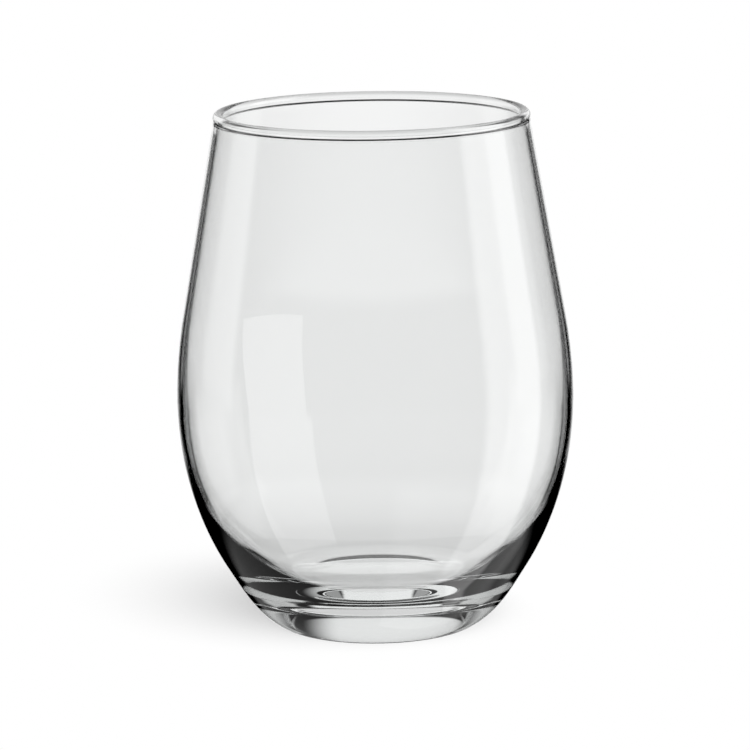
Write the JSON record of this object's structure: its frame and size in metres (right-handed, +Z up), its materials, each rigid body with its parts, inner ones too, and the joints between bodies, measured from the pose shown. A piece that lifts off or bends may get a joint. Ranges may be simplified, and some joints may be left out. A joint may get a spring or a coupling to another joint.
{
  "type": "stemless wine glass",
  "caption": "Stemless wine glass: clear egg-shaped bowl that tapers straight to a rolled rim, with a thick rounded base and a narrow resting ring.",
  "frame": {"origin": "on the axis of the glass, in the plane of the table that it stands on", "axes": "+Z up along the axis of the glass, out of its mouth; the glass is round, so +X and +Y are any two directions across it"},
  "size_m": [0.09, 0.09, 0.118],
  "materials": {
    "clear_glass": "clear, fire-polished"
  },
  "bodies": {
    "root": {"wine_glass": "clear_glass"}
  },
  "joints": []
}
